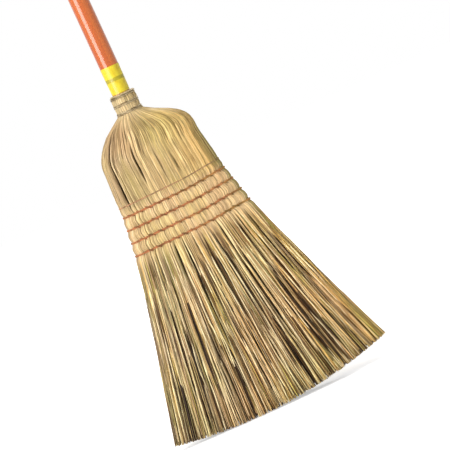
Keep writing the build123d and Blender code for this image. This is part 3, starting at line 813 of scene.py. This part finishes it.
def skirt_layer(bundle, side, layer, partings):
    """Loose straw that comes out from under the last row of twine."""
    count = layer.count
    share = (np.arange(count) + random.uniform(0.0, 1.0, count)) / count
    radius = layer.radius * random.uniform(*SKIRT_SIZES, count)
    paths = StrawPaths(share, side, radius, partings, layer.wander, layer.sink)
    start = random.uniform(*SKIRT_STARTS, count)
    tip = paths.tips(raggedness(count))
    drop = start[:, None] + (tip - start)[:, None] * np.linspace(0, 1, SKIRT_RINGS) ** SKIRT_RING_POWER
    buried = SKIRT_BURIED * (1 - smooth(*SKIRT_RISE, drop - start[:, None]))
    centres, outward = paths.points(drop, buried)
    colours = blend(straw_colours(paths, drop), PALE_CREAM, layer.cream)
    radii = straw_radii(drop, tip, radius, SKIRT_TIP_SIZE * layer.radius)
    bundle.add(centres, radii, outward, STRAW_SIDES, colours)


def layered_straw(name, add_layer, layers, side, partings, material):
    """Layers of the straw of one face, as a Blender object."""
    bundle = TubeBundle()
    for layer in layers:
        add_layer(bundle, side, layer, partings)
    return bundle.piece(name, material)


def inner_straw(name, low, high, material):
    """Straw inside the covers, between two distances from the axis."""
    count = INNER_STRAWS
    sewn_width = LAST_ROW_WIDTH / 2 - COVER_THICKNESS
    across = random.uniform(*np.clip([low, high], -sewn_width, sewn_width) / sewn_width, count)
    level = random.uniform(-1, 1, count)
    radius = INNER_RADIUS * random.uniform(*INNER_SIZES, count)
    wander = random.normal(0, INNER_WANDER, count)
    core = np.abs(across) < CORE_HALF_WIDTH / sewn_width
    start = np.where(core, CORE_TOP, INNER_TOP) + random.uniform(0, INNER_TOP_SCATTER, count)

    def points(drop):
        width, thickness = half_sizes(drop)
        progress = loose_part(drop)
        eased = np.minimum(progress, 1)
        pinch = twine_pinch(drop) + COVER_THICKNESS
        inner_width = width - pinch * (1 - INNER_WIDENING * eased)
        inner_thickness = thickness - pinch * (1 - INNER_THICKENING * eased)
        placed = np.clip(across[:, None] + wander[:, None] * progress, -INNER_ACROSS, INNER_ACROSS)
        room = np.sqrt(np.clip(1 - (placed / INNER_OVAL) ** 2, LEAST_ROOM, 1))
        return place(drop, placed * inner_width, level[:, None] * room * inner_thickness)

    tip = trimmed(lambda drop: points(drop[:, None])[:, 0], raggedness(count))
    drop = np.linspace(start, tip, INNER_RINGS, axis=1)
    centres = points(drop)
    outward = np.broadcast_to([0.0, FRONT, 0.0], centres.shape)
    # Painted shade: the straw between the covers is painted much darker
    colours = own_colours(across, random.normal(0, 1, count)) * np.array(INNER_PAINTED_SHADE)
    colours = np.repeat(colours[:, None], INNER_RINGS, axis=1)
    bundle = TubeBundle()
    bundle.add(centres, straw_radii(drop, tip, radius, TIP_RADIUS), outward, STRAW_SIDES, colours)
    return bundle.piece(name, material)


# Twine

def plies(path, outward, yarn, closed):
    """Centrelines of the plies of a twisted twine, with their outward directions."""
    length = lengths_along(path)
    turns = length[-1] / yarn.twist
    if closed:
        turns = round(turns)
    angle = 2 * np.pi * turns * length / length[-1]
    beside, up = directions(path, outward)
    lines = []
    for ply in range(yarn.plies):
        turn = (angle + 2 * np.pi * ply / yarn.plies)[:, None]
        lines.append(path + yarn.radius * PLY_PLACE * (np.cos(turn) * beside + np.sin(turn) * up))
    return np.stack(lines), np.repeat(up[None], yarn.plies, axis=0)


def twine(name, path, outward, yarn, closed, material):
    """A twisted twine along a path, as a Blender object."""
    bundle = TubeBundle()
    lines, ups = plies(path, outward, yarn, closed)
    radii = np.full(lines.shape[:2], yarn.radius * PLY_RADIUS)
    colours = np.broadcast_to(np.array(yarn.colour), lines.shape)
    bundle.add(lines, radii, ups, PLY_SIDES, colours)
    return bundle.piece(name, material)


def band_path(drop, pinch):
    """Closed path of a turn of twine round the head, with its outward directions."""
    width, thickness = half_sizes(drop)
    count = int(2 * (width + thickness) / PATH_SPACING)
    share = np.linspace(0, 1, count)
    drops = drop - row_rise(on_oval(width, thickness, share)[0])
    width, thickness = half_sizes(drops)
    across, depth, out_across, out_depth = on_oval(width - pinch, thickness - pinch, share)
    front = place(drops, across, -depth), heading(drops, out_across, -out_depth)
    back = place(drops, across, depth), heading(drops, out_across, out_depth)
    return [np.concatenate([there, again[-2::-1]]) for there, again in zip(front, back)]


def depth_at(drop, across):
    """Half thickness of the head at a place across it."""
    width, thickness = half_sizes(drop)
    shares = np.linspace(0, 1, OUTLINE_POINTS)
    outline_across, outline_depth = on_oval(width - ROW_PINCH, thickness - ROW_PINCH, shares)[:2]
    return np.interp(across, outline_across[::-1], outline_depth[::-1])


def stitch_corners(drop):
    """Corners of a row's thread: up and over the band in front, through, and over it at the back."""
    half_row = half_sizes(drop)[0] - ROW_PINCH - STITCH_EDGE_MARGIN
    count = 2 * int(half_row / STITCH_PITCH) + 1
    proud = BAND.radius + STITCH_PROUD * STITCH.radius
    corners = []
    for index in range(count):
        middle = STITCH_PITCH * (index - (count - 1) / 2)
        for end, sides in ((-1, (BACK, FRONT)), (1, (FRONT, BACK))):
            across = middle + end * STITCH_SLANT / 2
            depth = depth_at(drop, across) + proud
            corners += [(drop + end * STITCH_RISE, across, side * depth) for side in sides]
    drops, across, depth = np.array(corners).T
    depth[[0, -1]] = 0.0
    return place(drops - row_rise(across), across, depth)


def rounded(corners):
    """Path along corners, each of them rounded off."""
    points = [corners[0]]
    for before, corner, after in zip(corners, corners[1:], corners[2:]):
        start, end = [
            corner + unit(other - corner) * min(STITCH_BEND, np.linalg.norm(other - corner) / BENDS_PER_RUN)
            for other in (before, after)
        ]
        for share in np.linspace(0, 1, STITCH_BEND_STEPS):
            points.append((1 - share) ** 2 * start + 2 * share * (1 - share) * corner + share**2 * end)
    points.append(corners[-1])
    return np.array(points)


def resampled(path):
    """Path with even steps."""
    length = lengths_along(path)
    wanted = np.linspace(0, length[-1], int(length[-1] / PATH_SPACING))
    return np.stack([np.interp(wanted, length, column) for column in path.T], axis=1)


def stitch_thread(name, drop, material):
    """The thread that locks one row."""
    path = resampled(rounded(stitch_corners(drop)))
    outward = np.cross(np.gradient(path, axis=0), STITCH_REFERENCE)
    return twine(name, path, outward, STITCH, False, material)


# Materials

def feed(tree, node, values):
    """Gives a node's inputs values or other nodes' outputs."""
    for key, value in values.items():
        if isinstance(value, bpy.types.NodeSocket):
            tree.links.new(value, node.inputs[key])
        else:
            node.inputs[key].default_value = value


def add_node(tree, kind, values, **settings):
    """A node with its settings and the values of its inputs."""
    made = tree.nodes.new(kind)
    for key, value in settings.items():
        setattr(made, key, value)
    feed(tree, made, values)
    return made


def object_place(tree):
    """The place on the object, in metres."""
    return add_node(tree, "ShaderNodeTexCoord", {}).outputs["Object"]


def attribute(tree, name, output):
    """A value stored on the mesh."""
    return add_node(tree, "ShaderNodeAttribute", {}, attribute_name=name).outputs[output]


def place_along(tree, vector, axis):
    """The X, Y or Z of a place."""
    return add_node(tree, "ShaderNodeSeparateXYZ", {"Vector": vector}).outputs[axis]


def math_node(tree, operation, *values):
    """The result of an operation on values."""
    return add_node(tree, "ShaderNodeMath", dict(enumerate(values)), operation=operation).outputs[0]


def noise(tree, vector, scale, detail):
    """A noise texture's value, with a scale for each direction."""
    mapping = add_node(tree, "ShaderNodeMapping", {"Vector": vector, "Scale": scale})
    values = {"Vector": mapping.outputs["Vector"], "Scale": 1.0, "Detail": detail}
    return add_node(tree, "ShaderNodeTexNoise", values).outputs["Fac"]


def spread_value(tree, value, low, high, low_out, high_out):
    """A value mapped from one span to another."""
    values = {"Value": value, "From Min": low, "From Max": high, "To Min": low_out, "To Max": high_out}
    return add_node(tree, "ShaderNodeMapRange", values).outputs["Result"]


def ramp(tree, value, stops):
    """Colours along a value."""
    made = add_node(tree, "ShaderNodeValToRGB", {"Fac": value})
    elements = made.color_ramp.elements
    while len(elements) < len(stops):
        elements.new(0.5)
    for element, (position, colour) in zip(elements, stops):
        element.position = position
        element.color = (*colour, 1.0)
    return made.outputs["Color"]


def mixed(tree, kind, factor, first, second):
    """Two colours mixed."""
    made = add_node(tree, "ShaderNodeMix", {"Factor": factor}, data_type="RGBA", blend_type=kind)
    colour_inputs = [key for key, socket in enumerate(made.inputs) if socket.type == "RGBA"]
    feed(tree, made, dict(zip(colour_inputs, (first, second))))
    return next(socket for socket in made.outputs if socket.type == "RGBA")


def tinted(tree, colour, value, stops, factor=1.0):
    """A colour multiplied by the colours along a value, as far as the factor says."""
    return mixed(tree, "MULTIPLY", factor, colour, ramp(tree, value, stops))


def new_material(name):
    """A material and its node tree."""
    material = bpy.data.materials.new(name)
    material.use_nodes = True
    return material, material.node_tree


def dress(tree, values):
    """Gives a material's shader its values."""
    feed(tree, tree.nodes["Principled BSDF"], values)


def roughen(tree, height, roughness, strength, distance):
    """Gives a material's shader a roughness and a bump that follow one noise."""
    bump = add_node(tree, "ShaderNodeBump", {"Height": height, "Strength": strength, "Distance": distance})
    rough = spread_value(tree, height, *NOISE_SPAN, *roughness)
    dress(tree, {"Roughness": rough, "Normal": bump.outputs["Normal"]})


def straw_material():
    """Dry straw: its own colour, streaked along each straw, with patches over the whole head."""
    material, tree = new_material("broomcorn")
    spot = attribute(tree, "straw_place", "Vector")
    streak = noise(tree, spot, scale=(1.0, 0.055, 0.6), detail=4.0)
    patch = noise(tree, object_place(tree), scale=(22.0, 22.0, 12.0), detail=2.0)
    fine = noise(tree, spot, scale=(1.0, 0.5, 1.6), detail=2.0)
    colour = tinted(tree, attribute(tree, "straw_colour", "Color"), streak, STREAKS, factor=0.85)
    colour = tinted(tree, colour, patch, PATCHES, factor=0.7)
    dress(tree, {"Base Color": colour, "Specular IOR Level": 0.4})
    roughen(tree, fine, roughness=(0.42, 0.70), strength=0.35, distance=0.0006)
    return material


def twine_material():
    """Dyed twine, redder at the left and rubbed brown at the right, with fine fibres."""
    material, tree = new_material("red_twine")
    world = object_place(tree)
    wear = noise(tree, world, scale=(70.0, 70.0, 70.0), detail=2.0)
    rubbed = math_node(tree, "MULTIPLY_ADD", place_along(tree, world, "X"), RUBBED_PER_METRE, wear)
    fibre = noise(tree, attribute(tree, "straw_place", "Vector"), scale=(1.0, 2.2, 2.0), detail=3.0)
    soil = noise(tree, world, scale=(120.0, 120.0, 120.0), detail=2.0)
    colour = tinted(tree, attribute(tree, "straw_colour", "Color"), rubbed, RUBBED)
    colour = tinted(tree, colour, fibre, FIBRES)
    colour = tinted(tree, colour, soil, SOIL)
    dress(tree, {"Base Color": colour, "Specular IOR Level": 0.25})
    roughen(tree, fibre, roughness=(0.7, 0.92), strength=0.5, distance=0.0004)
    return material


def handle_material():
    """Orange-red lacquer over straight wood grain."""
    material, tree = new_material("lacquered_wood")
    world = object_place(tree)
    grain = noise(tree, world, scale=(90.0, 90.0, 2.4), detail=2.0)
    figure = noise(tree, world, scale=(40.0, 40.0, 2.2), detail=2.0)
    colour = tinted(tree, ramp(tree, grain, LACQUER), figure, FIGURE, factor=0.8)
    dress(tree, {"Base Color": colour, "Specular IOR Level": 0.1})
    dress(tree, {"Coat Weight": 1.0, "Coat Roughness": 0.12})
    roughen(tree, grain, roughness=(0.36, 0.24), strength=0.04, distance=0.0004)
    return material


def label_material():
    """Coated yellow paper, a little worn, with one plain olive stripe."""
    material, tree = new_material("label_paper")
    world = object_place(tree)
    low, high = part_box("handle_label")
    paper = noise(tree, world, scale=(160.0, 160.0, 90.0), detail=3.0)
    height = spread_value(tree, place_along(tree, world, "Z"), low.z, high.z, 0.0, 1.0)
    colour = mixed(tree, "MIX", ramp(tree, height, STRIPE), ramp(tree, paper, PAPER), STRIPE_INK)
    dress(tree, {"Base Color": colour})
    roughen(tree, paper, roughness=(0.26, 0.42), strength=0.08, distance=0.0003)
    return material


def wire_material():
    """Dulled steel wire."""
    material, tree = new_material("steel_wire")
    world = object_place(tree)
    drawn = noise(tree, world, scale=(300.0, 300.0, 900.0), detail=3.0)
    tarnish = noise(tree, world, scale=(95.0, 95.0, 140.0), detail=2.0)
    colour = tinted(tree, ramp(tree, drawn, STEEL), tarnish, TARNISH)
    dress(tree, {"Base Color": colour, "Metallic": 0.85})
    roughen(tree, drawn, roughness=(0.58, 0.38), strength=0.15, distance=0.0002)
    return material


def seen_ray(tree):
    """1 for what the camera sees, also by reflection and through clear things, and 0 for other light."""
    rays = add_node(tree, "ShaderNodeLightPath", {}).outputs
    shown = math_node(tree, "MAXIMUM", rays["Is Camera Ray"], rays["Is Glossy Ray"])
    return math_node(tree, "MAXIMUM", shown, rays["Is Transmission Ray"])


def floor_material():
    """Pale floor that keeps the broom's shadow and turns white away from it."""
    material, tree = new_material("pale_floor")
    world = object_place(tree)
    mottle = noise(tree, world, scale=(8.0, 8.0, 8.0), detail=2.0)
    away = add_node(tree, "ShaderNodeVectorMath", {0: world}, operation="LENGTH").outputs["Value"]
    whiteness = spread_value(tree, away, *FLOOR_WHITENING, FLOOR_WHITENESS, 1.0)
    glow = math_node(tree, "MULTIPLY", whiteness, seen_ray(tree))
    dress(tree, {"Base Color": ramp(tree, mottle, FLOOR_TONES), "Emission Color": WHITE})
    dress(tree, {"Emission Strength": glow, "Roughness": 0.9, "Specular IOR Level": 0.0})
    return material


# Scene

def build_straw():
    """Every piece of straw, standing for the CAD model's straw."""
    straw = straw_material()
    far = LAST_ROW_WIDTH
    made = {}
    for face, side in (("front", FRONT), ("back", BACK)):
        partings = Partings()
        cover = layered_straw(f"{face}_cover_straws", cover_layer, COVER_LAYERS, side, partings, straw)
        skirt = layered_straw(f"{face}_skirt_straws", skirt_layer, SKIRT_LAYERS, side, partings, straw)
        made[cover] = [f"{face}_cover_straw"]
        made[skirt] = [f"{face}_sweep_straw"]
    spans = {
        "left": (-far, -CORE_HALF_WIDTH, "left_shoulder_bunch"),
        "core": (-CORE_HALF_WIDTH, CORE_HALF_WIDTH, "core_bunch"),
        "right": (CORE_HALF_WIDTH, far, "right_shoulder_bunch"),
    }
    for part, (low, high, bunch) in spans.items():
        made[inner_straw(f"{part}_straws", low, high, straw)] = [bunch, f"{part}_sweep_straw"]
    for piece, nodes in made.items():
        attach(piece, "root")
        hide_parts(*nodes)


def build_twine():
    """Every turn and stitch of twine, standing for the CAD model's twine."""
    material = twine_material()
    made = {}
    for number, drop in enumerate(ROW_DROPS, 1):
        path, outward = band_path(drop, ROW_PINCH)
        made[twine(f"twisted_band_{number}", path, outward, BAND, True, material)] = f"stitch_band_{number}"
        made[stitch_thread(f"twisted_stitch_{number}", drop, material)] = f"lock_stitch_{number}"
    path, outward = band_path(LEAD_TURN_DROP, LEAD_TURN_PINCH)
    made[twine("twisted_lead_turn", path, outward, LEAD_TURN, True, material)] = "lead_turn_twine"
    for piece, node in made.items():
        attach(piece, "root")
        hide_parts(node)


def dress_cad():
    """New materials for the CAD nodes that show."""
    wire = wire_material()
    dressed = {
        "handle": handle_material(),
        "handle_label": label_material(),
        "neck_binding_wire": wire,
        "inner_binding_wire": wire,
        "wire_nails": wire,
    }
    for name, material in dressed.items():
        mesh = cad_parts[name].data
        mesh.materials.clear()
        mesh.materials.append(material)


def build_floor():
    """Round floor that the broom stands on."""
    bpy.ops.mesh.primitive_circle_add(
        vertices=FLOOR_SIDES, radius=FLOOR_RADIUS, fill_type="NGON", location=(0.0, 0.0, -FLOOR_GAP)
    )
    floor = bpy.context.object
    floor.name = "floor"
    floor.data.materials.append(floor_material())


def area_light(lamp):
    """Soft rectangular light."""
    light = bpy.data.lights.new(lamp.name, "AREA")
    light.energy = lamp.power
    light.shape = "RECTANGLE"
    light.size, light.size_y = lamp.size
    made = linked(lamp.name, light)
    made.location = lamp.place
    made.rotation_euler = (Vector(lamp.aim) - Vector(lamp.place)).to_track_quat("-Z", "Y").to_euler()
    made.visible_glossy = lamp.mirrored


def build_light():
    """Soft studio light, and a world that shows white behind the broom."""
    for lamp in LAMPS:
        area_light(lamp)
    world = bpy.data.worlds.new("studio")
    bpy.context.scene.world = world
    world.use_nodes = True
    tree = world.node_tree
    strength = spread_value(tree, seen_ray(tree), 0.0, 1.0, WORLD_LIGHT, 1.0)
    feed(tree, tree.nodes["Background"], {"Color": WHITE, "Strength": strength})


def build_camera():
    """Camera at the photograph's angle, rolled so that the handle leans to the upper left."""
    camera_data = bpy.data.cameras.new("camera")
    camera_data.sensor_width = SENSOR_WIDTH
    camera_data.lens = SENSOR_WIDTH * VIEW_DISTANCE / VIEW_WIDTH
    camera = linked("camera", camera_data)
    centre = Vector((HANDLE_X + VIEW_RIGHT, 0.0, NECK_FOOT_Z - VIEW_BELOW)) * MM
    raised = Matrix.Rotation(math.pi / 2 - VIEW_ELEVATION, 4, "X")
    rolled = Matrix.Rotation(-VIEW_ROLL, 4, "Z")
    back = Matrix.Translation((0.0, 0.0, VIEW_DISTANCE))
    camera.matrix_world = Matrix.Translation(centre) @ raised @ rolled @ back
    bpy.context.scene.camera = camera


build_camera()
build_straw()
build_twine()
dress_cad()
build_floor()
build_light()
bpy.context.scene.view_settings.view_transform = "Standard"
